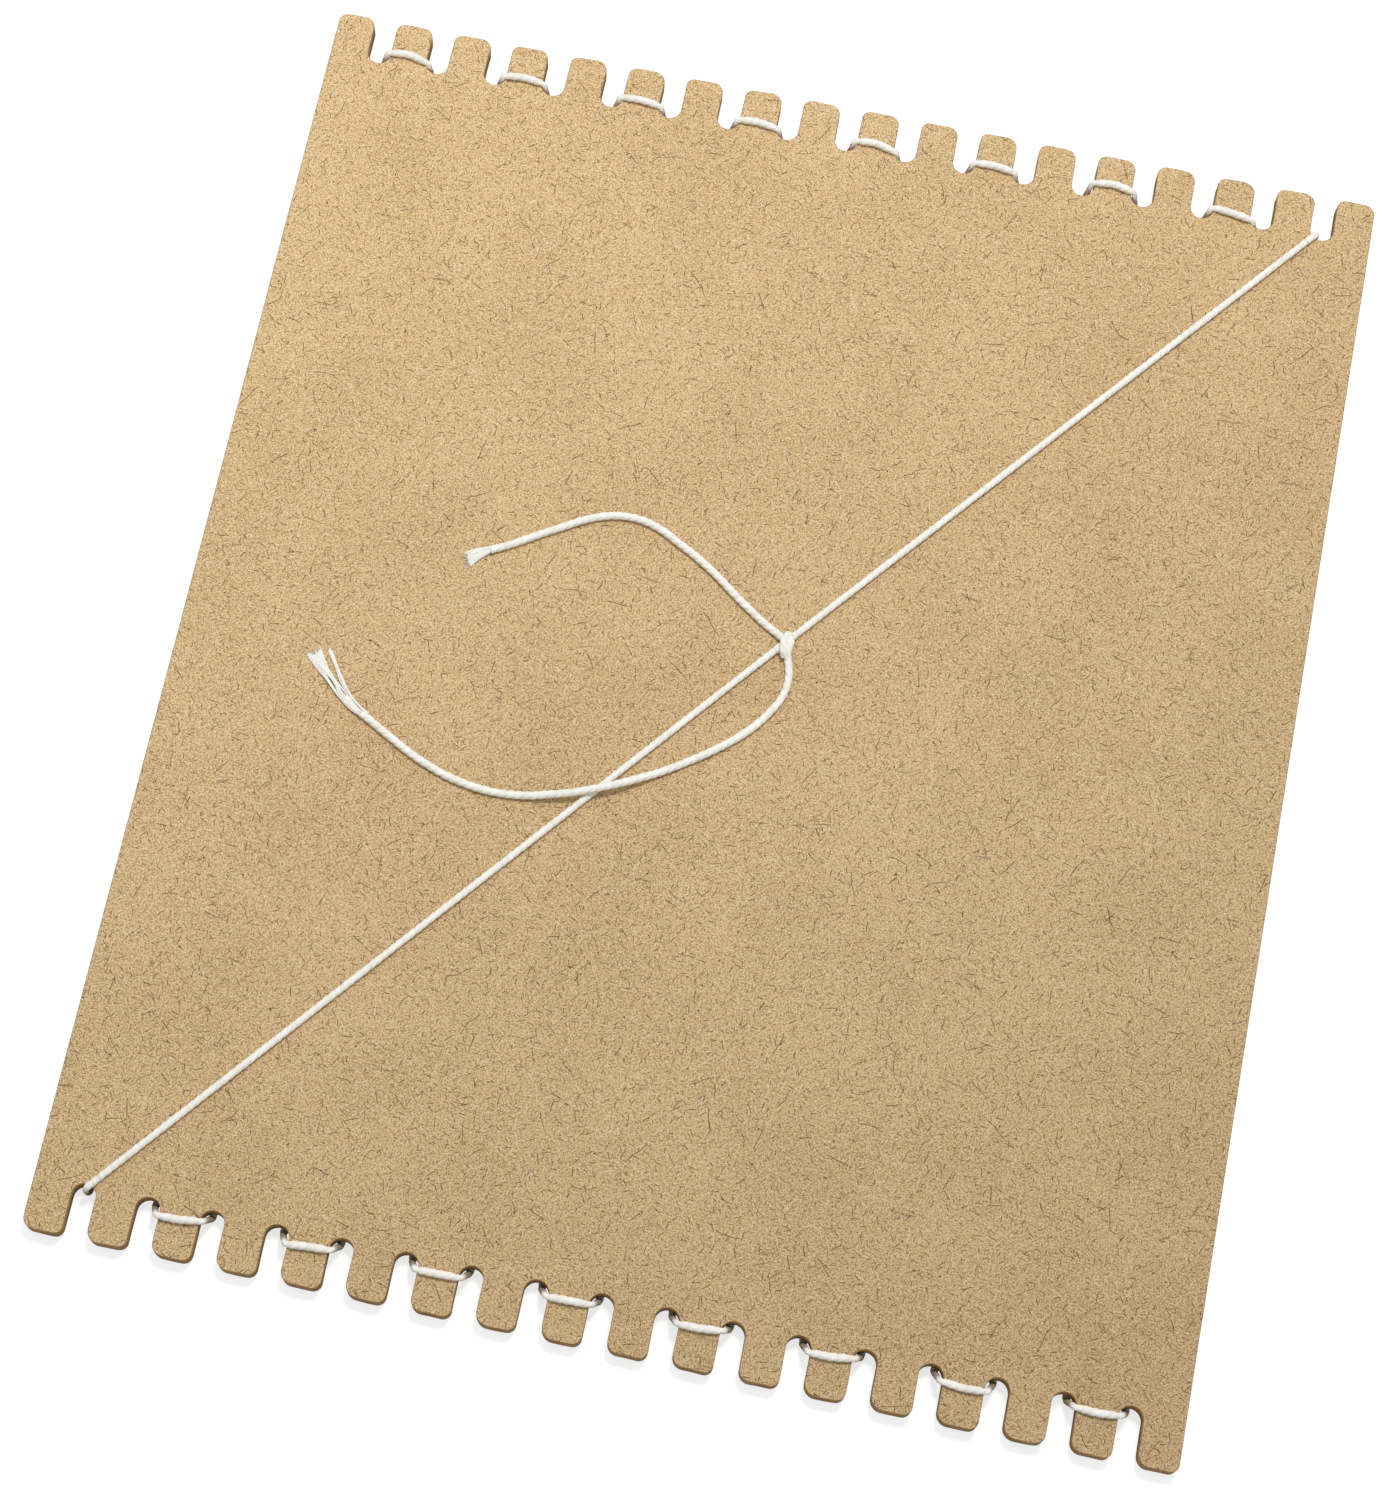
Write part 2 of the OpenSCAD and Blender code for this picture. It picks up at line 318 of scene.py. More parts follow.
def bridge_end(i, side, along, near_slot, mid_tab):
    """Half a bridge, from the strand below slot i to the middle of the tab that lies along that way.
    The cord rises straight and taut past the tab's wall, and crosses the tab at the given distances."""
    def at(off, past, height):
        return Vector((slot_x(i) + along * off, side * (SLOT_END_Y + past), height))

    edge = near_slot + (near_slot - mid_tab) * EDGE_SHARE
    low = at(LOW_OFF, LOW_PAST, BOARD_LOW.z + LOW_RISE)
    high = at(SLOT_R - SLOT_CORD_R, edge - HIGH_BACK, BOARD_HIGH.z)
    return [
        at(STRAND_OFF, -STRAIGHT_FROM, STRAND_Z),
        at(STRAND_OFF, 0, STRAND_Z),
        at(STRAND_OFF, BEND_PAST, BOARD_LOW.z - BEND_PAST),
        low,
        *(low.lerp(high, share) for share in RISE_SHARES),
        at(SLOT_R - TURN_OFF, edge - TURN_BACK, BOARD_HIGH.z + TURN_RISE),
        at(SLOT_R + OVER_OFF, edge, BOARD_HIGH.z + SLOT_CORD_R),
        at(SLOT_R + ON_TAB_OFF, near_slot, LIE_Z),
        at(TAB_PITCH / 2, mid_tab, LIE_Z),
    ]


def turned(way, degrees):
    return Matrix.Rotation(math.radians(degrees), 3, "Z") @ way


def winding_end(i, side, port, turn):
    """The end of the winding in slot i, over the slot's end and on its way to a port of the knot."""
    eye = slot_eye(i, side)
    goal = Vector((*port, 0))
    bearing = eye + turned((goal - eye).normalized(), turn) * SEAT_R
    pull = (goal - bearing).normalized()
    over = bearing + pull * BEND_R
    return under_edge(bearing, side) + [
        *(at_depth(bearing, share) for share in END_DEPTHS),
        bearing + pull * BEND_SLOPE + UP * (LIE_Z - BEND_SLOPE),
        over + UP * LIE_Z,
        over + pull * CORD_R + UP * LIE_Z,
        over + pull * END_RUN + UP * LIE_Z,
    ]


def winding_route():
    """The points that the whole winding goes through, from its lower end to its upper end."""
    route = winding_end(0, -1, LOWER_PORT, LOWER_TURN)[::-1]
    for i, bridge in enumerate(BRIDGES):
        side = 1 if i % 2 == 0 else -1
        left, middle, right = (share / 1000 for share in bridge)
        route += bridge_end(i, side, 1, left, middle)
        route += bridge_end(i + 1, side, -1, right, middle)[-2::-1]
    return route + winding_end(SLOT_COUNT - 1, 1, UPPER_PORT, 0)


def winding_radii(line):
    """The radius at each point: full on the tabs and below the board, less in the slots and at both ends."""
    along = lengths_along(line)
    from_end = np.minimum(along, along[-1] - along)
    heights = (BOARD_LOW.z - CORD_R, BOARD_LOW.z, BOARD_HIGH.z + SLOT_CORD_R, LIE_Z)
    in_slot = np.interp(line[:, 2], heights, (WARP_R, SLOT_CORD_R, SLOT_CORD_R, WARP_R))
    return np.minimum(in_slot, TIE_R + (WARP_R - TIE_R) * np.clip(from_end / THINNING, 0, 1))


def make_warp(material):
    """The winding as one tube, with its two ends' points, and the normal and turn that it ends with."""
    line = smooth(winding_route(), FREE_STEP)
    straight = np.abs(line[:, 1]) < SLOT_END_Y - STRAIGHT_FROM
    straight &= line[:, 2] < BOARD_LOW.z
    line = line[~straight | (np.arange(len(line)) % STRAND_EVERY == 0)]
    tube = sweep(line, ply_outline(4), winding_radii(line), lay=CORD_LAY, least_z=0)
    warp = make_piece("warp", [tube], material)
    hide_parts("warp_winding")
    return line[0], line[-1], tube["last_normal"], tube["last_turn"]


# The ties, the tails, the knot and the unravelled ends

def straight_line(start, end, step):
    return evened(np.array([tuple(start), tuple(end)], float), step)


def on_board(place, lift=0.0):
    return Vector((*place, LIE_Z + lift))


def free_cord(name, line, radius, material, node, far_end, lay, with_pieces=(), **twist):
    """A free cord of three plies that replaces a node. What is given about its far end, its lay and the
    pieces with it is not used.
    """
    tube = sweep(line, ply_outline(8), radius, lay=CORD_LAY, **twist)
    piece = make_piece(name, [tube], material)
    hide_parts(node)
    return piece


def hump(i):
    if abs(i - HUMP_AT) >= HUMP_REACH:
        return 0.0
    return HUMP_HEIGHT * (1 + math.cos(math.pi * (i - HUMP_AT) / HUMP_REACH)) / 2


# Cords inside the knot: place and height above the board of each of their points
KNOT_TIES = [
    (*LOWER_PORT, 0.00075), (0.0069, 0.0097, 0.0009), (0.0077, 0.0106, 0.0010),
    (0.0084, 0.0116, 0.0009), (*UPPER_PORT, 0.00075),
]
KNOT_SHORT = [
    (*SHORT_PORT, 0.00075), (0.0069, 0.0114, 0.0010), (0.0077, 0.0108, 0.0012), (0.0083, 0.0099, 0.0010),
]
KNOT_WRAP = [
    (0.0085, 0.0113, 0.0009), (0.0082, 0.0120, 0.0012), (0.0077, 0.0118, 0.0016),
    (0.0074, 0.0109, 0.0019), (0.0074, 0.0097, 0.0019), (0.0076, 0.0087, 0.0015), (0.0080, 0.0081, 0.0009),
]
KNOT_LONG = [
    (0.0077, 0.0112, 0.0010), (0.0083, 0.0113, 0.0015), (0.0085, 0.0104, 0.0018),
    (0.0084, 0.0093, 0.0017), (0.0084, 0.0085, 0.0013), (*LONG_PORT, 0.00075),
]


def make_knot(material):
    """Two wraps over the crossing of the ties, which the tails run on from."""
    tubes = []
    for route in (KNOT_TIES, KNOT_SHORT, KNOT_WRAP, KNOT_LONG):
        line = smooth([(x, y, BOARD_HIGH.z + z) for x, y, z in route], FREE_STEP)
        tubes.append(sweep(line, ply_outline(8), TAIL_R, lay=CORD_LAY))
    knot = make_piece("knot", tubes, material)
    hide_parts("warp_knot")
    return knot


THREAD_R = 0.00017
THREAD_STEP = 0.0003
THREAD_LAY = 0.002
THREAD_SWELL = 0.25
LAYER_RISE = THREAD_R * 1.5
CUT_SHORT = -0.0006
CUT_LONG = 0.0003
FUZZ_R = 0.00004
FUZZ_LENGTH = 0.0009
FUZZ_PER_THREAD = 4
FUZZ_SPREAD = 0.35
FUZZ_LIFT = 0.0001
LONG_THREADS = 9
WISP_THREADS = 3
SHORT_THREADS = 11

# Left and right edge of each bunch of threads at stations along it, from inside the tail to the tips
LONG_BUNCH = [
    [(-0.0612, -0.0184), (-0.0608, -0.0176)],
    [(-0.0624, -0.0179), (-0.0619, -0.0170)],
    [(-0.0640, -0.0170), (-0.0632, -0.0162)],
    [(-0.0664, -0.0152), (-0.0655, -0.0142)],
    [(-0.0686, -0.0131), (-0.0675, -0.0123)],
    [(-0.0712, -0.0109), (-0.0695, -0.0104)],
    [(-0.0737, -0.0087), (-0.0715, -0.0071)],
]
LONG_WISP = [
    [(-0.0608, -0.0176), (-0.0605, -0.0172)],
    [(-0.0619, -0.0170), (-0.0616, -0.0166)],
    [(-0.0632, -0.0162), (-0.0628, -0.0158)],
    [(-0.0655, -0.0142), (-0.0651, -0.0134)],
    [(-0.0671, -0.0119), (-0.0665, -0.0116)],
    [(-0.0682, -0.0101), (-0.0677, -0.0100)],
    [(-0.0703, -0.0070), (-0.0696, -0.0070)],
]
SHORT_BUNCH = [
    [(-0.0450, 0.0173), (-0.0454, 0.0182)],
    [(-0.0463, 0.0166), (-0.0468, 0.0176)],
    [(-0.0474, 0.0158), (-0.0478, 0.0172)],
    [(-0.0484, 0.0149), (-0.0492, 0.0167)],
    [(-0.0492, 0.0136), (-0.0511, 0.0156)],
]


def threads(bunch, count, chance, mix):
    """Tubes of the threads in a bunch. Their order across it changes a little on the way, by mix."""
    tubes = []
    floor = BOARD_HIGH.z + THREAD_R
    for k in range(count):
        share = (k + 0.5) / count
        layer = (k % 2) * LAYER_RISE
        route = []
        for s, (left, right) in enumerate(bunch):
            out = s / (len(bunch) - 1)
            wander = mix * math.sin(math.pi * out)
            at = min(1, max(0, share + chance.uniform(-wander, wander)))
            place = Vector((*left, 0)).lerp(Vector((*right, 0)), at)
            round_up = (1 - out) * (LIE_Z - floor + TAIL_R * 0.5 * math.sin(math.pi * at))
            place.z = floor + round_up + layer * (1 - 0.5 * out) * chance.uniform(0.6, 1)
            route.append(place)
        route[-1] += (route[-1] - route[-2]).normalized() * chance.uniform(CUT_SHORT, CUT_LONG)
        route[-1].z = max(route[-1].z, floor)
        line = smooth(route, THREAD_STEP)
        swell = 1 + THREAD_SWELL * np.linspace(0, 1, len(line)) ** 4
        tubes.append(sweep(line, round_outline(8), THREAD_R * swell, lay=THREAD_LAY))
        tubes += fuzz(line, chance)
    return tubes


def fuzz(line, chance):
    """Fine fibres that stand out of a thread's tip."""
    tip, way = Vector(line[-1]), Vector(line[-1] - line[-3]).normalized()
    tubes = []
    for _ in range(FUZZ_PER_THREAD):
        out = way + Vector([chance.uniform(-FUZZ_SPREAD, FUZZ_SPREAD) for _ in range(3)])
        out.z = max(out.z, 0)
        reach = FUZZ_LENGTH * chance.uniform(0.4, 1)
        middle = tip + out * reach / 2 + UP * chance.uniform(0, FUZZ_LIFT)
        start = tip - way * THREAD_R
        fibre = smooth([start, middle, tip + out * reach], reach / 5)
        radii = FUZZ_R * np.linspace(1, 0.5, len(fibre))
        tubes.append(sweep(fibre, round_outline(4), radii))
    return tubes


def make_frayed_ends(material):
    chance = random.Random(11)
    long_threads = threads(LONG_BUNCH, LONG_THREADS, chance, 0.25)
    long_threads += threads(LONG_WISP, WISP_THREADS, chance, 0.2)
    long_end = make_piece("frayed_end_long", long_threads, material)
    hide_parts("fray_long")
    short_threads = threads(SHORT_BUNCH, SHORT_THREADS, chance, 0.12)
    short_end = make_piece("frayed_end_short", short_threads, material)
    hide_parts("fray_short")
    return long_end, short_end


def make_cords(material):
    lower_start, upper_start, upper_normal, upper_turn = make_warp(material)
    knot = make_knot(material)
    long_end, short_end = make_frayed_ends(material)
    free_cord(
        "tie_lower", straight_line(lower_start, on_board(LOWER_PORT), FREE_STEP), TIE_R, material,
        "tie_strand_lower", "knot", "taut", [knot],
    )
    free_cord(
        "tie_upper", straight_line(upper_start, on_board(UPPER_PORT), FREE_STEP), TIE_R, material,
        "tie_strand_upper", "knot", "taut", normal=upper_normal, turn=upper_turn,
    )
    free_cord(
        "tail_short_cord", smooth([on_board(p) for p in SHORT_TAIL], FREE_STEP), TAIL_R, material,
        "tail_short", "bare", "loose", [short_end],
    )
    free_cord(
        "tail_long_cord", smooth([on_board(p, hump(i)) for i, p in enumerate(LONG_TAIL)], FREE_STEP),
        TAIL_R, material, "tail_long", "bare", "loose", [long_end],
    )


# The board: the worn rim of both faces, the steps along the outline, how far the cuts stray from it, and
# how much deeper the slots of each edge are than the nominal depth

RIM = 0.00012
WALL_STEP = 0.0006
SIDE_STEP = 0.003
ARC_STEPS = 10
WAVE_LENGTH = 0.0045
TAB_WAVE = 0.00016
SLOT_WAVE = 0.00003
FAR_SLOTS_DEEPER = -0.00015
NEAR_SLOTS_DEEPER = 0.0002


def arc(centre, radius, from_deg, to_deg, steps):
    """Points of an arc, both ends among them."""
    angles = [math.radians(from_deg + (to_deg - from_deg) * k / steps) for k in range(steps + 1)]
    return [Vector((centre[0] + radius * math.cos(a), centre[1] + radius * math.sin(a))) for a in angles]


def edge_outline(deeper):
    """The far toothed edge from left to right: round-cornered tabs with round-ended slots between. The
    slots are a little deeper, or less deep, than the nominal depth."""
    points = []
    top = BOARD_HIGH.y
    for k in range(TAB_COUNT):
        x = (k - (TAB_COUNT - 1) / 2) * TAB_PITCH
        left = x - TAB_HALF + LEFT_CORNER_R
        right = x + TAB_HALF - RIGHT_CORNER_R
        points += arc((left, top - LEFT_CORNER_R), LEFT_CORNER_R, 180, 90, ARC_STEPS)
        points += arc((right, top - RIGHT_CORNER_R), RIGHT_CORNER_R, 90, 0, ARC_STEPS)
        if k < SLOT_COUNT:
            points += arc((slot_x(k), SLOT_END_Y + SLOT_R - deeper), SLOT_R, 180, 360, 2 * ARC_STEPS)
    return points


def divided(points):
    """The closed outline with its long straight stretches cut into even steps."""
    out = []
    for a, b in zip(points, points[1:] + points[:1]):
        step = SIDE_STEP if abs(b.y - a.y) > BOARD_HIGH.y else WALL_STEP
        count = max(1, round((b - a).length / step))
        out += [a.lerp(b, k / count) for k in range(count)]
    return out


def outward(points):
    """Unit normals of a closed outline that runs clockwise."""
    p = np.array(points)
    way = np.roll(p, -1, axis=0) - np.roll(p, 1, axis=0)
    way /= np.linalg.norm(way, axis=1)[:, None]
    return np.stack([-way[:, 1], way[:, 0]], axis=1)


def wavy(points):
    """The outline as a hand-fed cutter leaves it, truest where the cord bears on it."""
    p = np.array(points)
    slot_share = np.clip((np.abs(p[:, 1]) - SLOT_END_Y - SLOT_R) / (SLOT_DEPTH - SLOT_R), 0, 1)
    sizes = SLOT_WAVE + (TAB_WAVE - SLOT_WAVE) * slot_share
    waves = np.array([noise.noise((x / WAVE_LENGTH, y / WAVE_LENGTH, 0.3)) for x, y in p])
    return p + outward(points) * (sizes * waves)[:, None]


def make_board(face, wall):
    """A flat board with a fine worn rim round both faces, and walls that show how it was cut."""
    far = edge_outline(FAR_SLOTS_DEEPER)
    near = [-p for p in edge_outline(NEAR_SLOTS_DEEPER)]
    outer = wavy([tuple(p) for p in divided(far + near)])
    inner = outer - outward(outer) * RIM
    low, high = BOARD_LOW.z, BOARD_HIGH.z
    rings = [(inner, high), (outer, high - RIM), (outer, low + RIM), (inner, low)]
    count = len(outer)
    points = [(x, y, z) for ring, z in rings for x, y in ring]
    faces = [list(range(count))[::-1], list(range(3 * count, 4 * count))]
    for start in (0, count, 2 * count):
        faces += [
            [start + k, start + after, start + count + after, start + count + k]
            for k, after in zip(range(count), [*range(1, count), 0])
        ]
    mesh = bpy.data.meshes.new("board")
    mesh.from_pydata(points, [], faces)
    around = np.concatenate([lengths_along(np.vstack([outer, outer[:1]]))[:-1]] * len(rings))
    place = mesh.attributes.new("around", "FLOAT_VECTOR", "POINT")
    heights = np.repeat([z for _, z in rings], count)
    place.data.foreach_set("vector", np.stack([around, heights, 0 * around], 1).astype(np.float32).ravel())
    mesh.materials.append(face)
    mesh.materials.append(wall)
    for polygon in mesh.polygons[2:]:
        polygon.use_smooth = True
        polygon.material_index = 1
    mesh.update()
    board = bpy.data.objects.new("board", mesh)
    bpy.context.scene.collection.objects.link(board)
    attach(board, "root")
    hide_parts("loom_board")


# Materials

def add(tree, kind, sockets=None, **settings):
    """A new node with its settings. Each socket gets a value, or a link from another socket."""
    node = tree.nodes.new(kind)
    for name, value in settings.items():
        setattr(node, name, value)
    for name, value in (sockets or {}).items():
        if isinstance(value, bpy.types.NodeSocket):
            tree.links.new(value, node.inputs[name])
        else:
            node.inputs[name].default_value = value
    return node


def calc(tree, operation, *values):
    return add(tree, "ShaderNodeMath", dict(enumerate(values)), operation=operation).outputs[0]


def vector_calc(tree, operation, *values, **named):
    sockets = {**dict(enumerate(values)), **named}
    return add(tree, "ShaderNodeVectorMath", sockets, operation=operation).outputs


def ramp(tree, value, low, high, to_low=0.0, to_high=1.0):
    """The value moved smoothly from the range low to high on to another one."""
    sockets = {"Value": value, "From Min": low, "From Max": high, "To Min": to_low, "To Max": to_high}
    return add(tree, "ShaderNodeMapRange", sockets, interpolation_type="SMOOTHSTEP").outputs[0]


def tint(tree, colour, mask, other):
    """The colour changed to the other one where the mask is 1."""
    node = add(tree, "ShaderNodeMix", data_type="RGBA")
    for name, value in ((0, mask), (6, colour), (7, other)):
        if isinstance(value, bpy.types.NodeSocket):
            tree.links.new(value, node.inputs[name])
        else:
            node.inputs[name].default_value = value
    return node.outputs[2]


def new_group(name, inputs, outputs):
    """An empty node group with those sockets, and the sockets' ends inside it."""
    tree = bpy.data.node_groups.new(name, "ShaderNodeTree")
    for direction, sockets in (("INPUT", inputs), ("OUTPUT", outputs)):
        for socket, kind in sockets.items():
            tree.interface.new_socket(name=socket, in_out=direction, socket_type="NodeSocket" + kind)
    return tree, tree.nodes.new("NodeGroupInput").outputs, tree.nodes.new("NodeGroupOutput").inputs


def place_group(tree, group, **sockets):
    return add(tree, "ShaderNodeGroup", {k.replace("_", " "): v for k, v in sockets.items()}, node_tree=group)


# How much the pattern of hairs is swayed and how often, in cells, and the shares of a hair's width and
# length that show in full
SWAY = 0.12
SWAY_SCALE = 2.3
HAIR_CORE = 0.3
HAIR_TAPER = 0.6


def hairs_group():
    """Thin curved hairs, at most one in each cell, that lie every way on a flat place."""
    inputs = {
        "Place": "Vector", "Cell": "Float", "Length": "Float", "Width": "Float", "Bend": "Float",
        "Share": "Float", "Seed": "Float",
    }
    tree, given, made = new_group("scattered_hairs", inputs, {"Mask": "Float"})
    cells = calc(tree, "DIVIDE", 1.0, given["Cell"])
    scaled = vector_calc(tree, "SCALE", given["Place"], Scale=cells)[0]
    moved = vector_calc(tree, "ADD", scaled, given["Seed"])[0]
    sway = add(
        tree, "ShaderNodeTexNoise", {"Vector": moved, "Scale": SWAY_SCALE, "Detail": 1.0},
        noise_dimensions="2D",
    )
    off = vector_calc(tree, "SUBTRACT", sway.outputs["Color"], (0.5, 0.5, 0.5))[0]
    off = vector_calc(tree, "SCALE", off, Scale=SWAY)[0]
    spot = vector_calc(tree, "ADD", moved, off)[0]
    cell = add(tree, "ShaderNodeTexVoronoi", {"Vector": spot, "Scale": 1.0}, voronoi_dimensions="2D")
    from_seed = vector_calc(tree, "SUBTRACT", spot, cell.outputs["Position"])[0]
    chance = add(tree, "ShaderNodeSeparateColor", {"Color": cell.outputs["Color"]}).outputs
    angle = calc(tree, "MULTIPLY", chance[0], math.tau)
    laid = add(
        tree, "ShaderNodeVectorRotate", {"Vector": from_seed, "Angle": angle}, rotation_type="Z_AXIS"
    )
    xyz = add(tree, "ShaderNodeSeparateXYZ", {0: laid.outputs[0]}).outputs
    bend = calc(tree, "MULTIPLY", calc(tree, "SUBTRACT", chance[1], 0.5), given["Bend"])
    bow = calc(tree, "MULTIPLY", bend, calc(tree, "MULTIPLY", xyz[0], xyz[0]))
    across = calc(tree, "ABSOLUTE", calc(tree, "SUBTRACT", xyz[1], bow))
    thin = ramp(tree, across, given["Width"], calc(tree, "MULTIPLY", given["Width"], HAIR_CORE))
    share_of_length = calc(tree, "ADD", 0.5, calc(tree, "MULTIPLY", chance[1], 0.5))
    reach = calc(tree, "MULTIPLY", given["Length"], share_of_length)
    ends = ramp(tree, calc(tree, "ABSOLUTE", xyz[0]), reach, calc(tree, "MULTIPLY", reach, HAIR_TAPER))
    there = calc(tree, "LESS_THAN", chance[2], given["Share"])
    mask = calc(tree, "MULTIPLY", calc(tree, "MULTIPLY", thin, ends), there)
    tree.links.new(mask, made["Mask"])
    return tree


def mottle_group():
    """Fine grain and wide clouds, both as a value about 0.5."""
    kinds = {"Grain": "Float", "Cloud": "Float"}
    tree, given, made = new_group("mottle", {"Place": "Vector", **kinds}, kinds)
    for name, detail, roughness in (("Grain", 2.0, 0.7), ("Cloud", 3.0, 0.6)):
        scale = calc(tree, "DIVIDE", 1.0, given[name])
        texture = add(
            tree, "ShaderNodeTexNoise",
            {"Vector": given["Place"], "Scale": scale, "Detail": detail, "Roughness": roughness},
        )
        tree.links.new(texture.outputs["Fac"], made[name])
    return tree


# The scale of the cord's paler and darker patches, and how much of its tone comes from the fibres instead
PATCH_SCALE = 250.0
FIBRE_SHARE = 0.6


def yarn_group():
    """Fibres that run along a straightened cord, as a height and as a change of tone."""
    inputs = {"Place": "Vector", "Fibre": "Float", "Stretch": "Float"}
    tree, given, made = new_group("yarn_fibres", inputs, {"Height": "Float", "Tone": "Float"})
    squeeze = calc(tree, "DIVIDE", 1.0, given["Stretch"])
    scale = add(tree, "ShaderNodeCombineXYZ", {"X": 1.0, "Y": 1.0, "Z": squeeze}).outputs[0]
    long_place = vector_calc(tree, "MULTIPLY", given["Place"], scale)[0]
    fibre_scale = calc(tree, "DIVIDE", 1.0, given["Fibre"])
    fine = add(tree, "ShaderNodeTexNoise", {"Vector": long_place, "Scale": fibre_scale, "Detail": 2.0})
    patch = add(tree, "ShaderNodeTexNoise", {"Vector": given["Place"], "Scale": PATCH_SCALE, "Detail": 2.0})
    tree.links.new(fine.outputs["Fac"], made["Height"])
    from_fine = calc(tree, "MULTIPLY", fine.outputs["Fac"], FIBRE_SHARE)
    from_patch = calc(tree, "MULTIPLY", patch.outputs["Fac"], 1 - FIBRE_SHARE)
    tree.links.new(calc(tree, "ADD", from_fine, from_patch), made["Tone"])
    return tree


def new_material(name):
    """A material with a Principled surface, and the tree that holds it."""
    material = bpy.data.materials.new(name)
    material.use_nodes = True
    return material, material.node_tree, material.node_tree.nodes["Principled BSDF"].inputs


def add_bump(tree, surface, height, strength, distance):
    bump = add(tree, "ShaderNodeBump", {"Height": height, "Strength": strength, "Distance": distance})
    tree.links.new(bump.outputs[0], surface["Normal"])


def linear(share):
    return share / 12.92 if share <= 0.04045 else ((share + 0.055) / 1.055) ** 2.4


def srgb(*channels):
    """A colour as it shows on screen, from 0 to 255, as the linear one that a socket holds."""
    return (*(linear(channel / 255) for channel in channels), 1.0)


BOARD_PALE = srgb(228, 197, 148)
BOARD_BROWN = srgb(167, 136, 91)
DARK_FIBRE = srgb(88, 60, 28)
PALE_FIBRE = srgb(238, 219, 184)
SPECK = srgb(60, 44, 28)
WALL_BROWN = srgb(192, 158, 109)
WALL_DARK = srgb(142, 112, 72)
COTTON = srgb(245, 244, 237)
COTTON_SHADE = srgb(224, 221, 209)
# Brown painted shade for the cord where it runs deep in the slots
SLOT_PAINTED_SHADE = srgb(134, 100, 52)

# How strong the painted shade on the cord in the slots is, and the heights between which it sets in from
# above and from below
SLOT_SHADE_SHARE = 0.75
SLOT_SHADE_TOP = (BOARD_HIGH.z + 0.0003, BOARD_HIGH.z - 0.001)
SLOT_SHADE_FOOT = (BOARD_LOW.z - 0.0004, BOARD_LOW.z + 0.0004)

# Hairs in the board's face: cell, length, width, bend, share, seed, colour and strength
FACE_HAIRS = [
    (0.0007, 0.42, 0.15, 0.3, 0.60, 3.1, DARK_FIBRE, 0.42),
    (0.0010, 0.46, 0.10, 0.3, 0.70, 7.7, DARK_FIBRE, 0.55),
    (0.0009, 0.44, 0.14, 0.3, 0.70, 12.3, PALE_FIBRE, 0.60),
    (0.0018, 0.45, 0.055, 0.3, 0.65, 21.9, DARK_FIBRE, 0.85),
    (0.0026, 0.45, 0.042, 0.4, 0.50, 34.1, PALE_FIBRE, 0.60),
    (0.0044, 0.34, 0.024, 0.5, 0.50, 45.7, DARK_FIBRE, 0.85),
    (0.0080, 0.36, 0.014, 0.7, 0.30, 58.3, DARK_FIBRE, 0.80),
    (0.0090, 0.36, 0.012, 0.7, 0.20, 63.9, PALE_FIBRE, 0.60),
    (0.0045, 0.060, 0.040, 0.5, 0.25, 77.5, SPECK, 0.90),
]

# How the board's tone changes across it, in shares of it for each metre: paler towards its far left
TONE = 0.90
TONE_CHANGE = (-0.71, 0.82, 0)

# How far a pale hair stands out of the face, and a dark one lies in it, against the height of the grain
HAIR_LIFT = 0.8


def board_face(hairs, mottle):
    """Pressed fibre: a pale ground of fine grain, with dark and pale hairs in it."""
    material, tree, surface = new_material("pressed_fibre_face")
    place = add(tree, "ShaderNodeTexCoord").outputs["Object"]
    grounds = place_group(tree, mottle, Place=place, Grain=0.00028, Cloud=0.022)
    grain = ramp(tree, grounds.outputs["Grain"], 0.36, 0.60)
    cloud = ramp(tree, grounds.outputs["Cloud"], 0.3, 0.7, -0.08, 0.08)
    colour = tint(tree, BOARD_BROWN, calc(tree, "ADD", grain, cloud), BOARD_PALE)
    height = grain
    for cell, length, width, bend, share, seed, fibre, strength in FACE_HAIRS:
        hair = place_group(
            tree, hairs, Place=place, Cell=cell, Length=length, Width=width, Bend=bend, Share=share, Seed=seed
        ).outputs["Mask"]
        mask = calc(tree, "MULTIPLY", hair, strength)
        colour = tint(tree, colour, mask, fibre)
        lift = HAIR_LIFT if fibre is PALE_FIBRE else -HAIR_LIFT
        height = calc(tree, "ADD", height, calc(tree, "MULTIPLY", mask, lift))
    across = vector_calc(tree, "DOT_PRODUCT", place, TONE_CHANGE)["Value"]
    toned = vector_calc(tree, "SCALE", colour, Scale=calc(tree, "ADD", across, TONE))[0]
    tree.links.new(toned, surface["Base Color"])
    tree.links.new(ramp(tree, grain, 0.0, 1.0, 0.82, 0.68), surface["Roughness"])
    add_bump(tree, surface, height, 0.35, 0.00006)
    surface["Specular IOR Level"].default_value = 0.3
    return material


def board_wall(hairs, mottle):
    """The cut walls: a little browner than the faces, in paler and darker patches."""
    material, tree, surface = new_material("pressed_fibre_wall")
    place = add(tree, "ShaderNodeAttribute", attribute_name="around").outputs["Vector"]
    grounds = place_group(tree, mottle, Place=place, Grain=0.00030, Cloud=0.004)
    grain = ramp(tree, grounds.outputs["Grain"], 0.3, 0.7)
    cloud = ramp(tree, grounds.outputs["Cloud"], 0.3, 0.7)
    paler = calc(tree, "MULTIPLY", calc(tree, "ADD", grain, cloud), 0.5)
    colour = tint(tree, WALL_DARK, paler, WALL_BROWN)
    hair = place_group(
        tree, hairs, Place=place, Cell=0.0012, Length=0.45, Width=0.09, Bend=0.6, Share=0.6, Seed=5.5
    ).outputs["Mask"]
    colour = tint(tree, colour, calc(tree, "MULTIPLY", hair, 0.4), BOARD_BROWN)
    tree.links.new(colour, surface["Base Color"])
    surface["Roughness"].default_value = 0.85
    surface["Specular IOR Level"].default_value = 0.2
    add_bump(tree, surface, grain, 0.5, 0.00008)
    return material


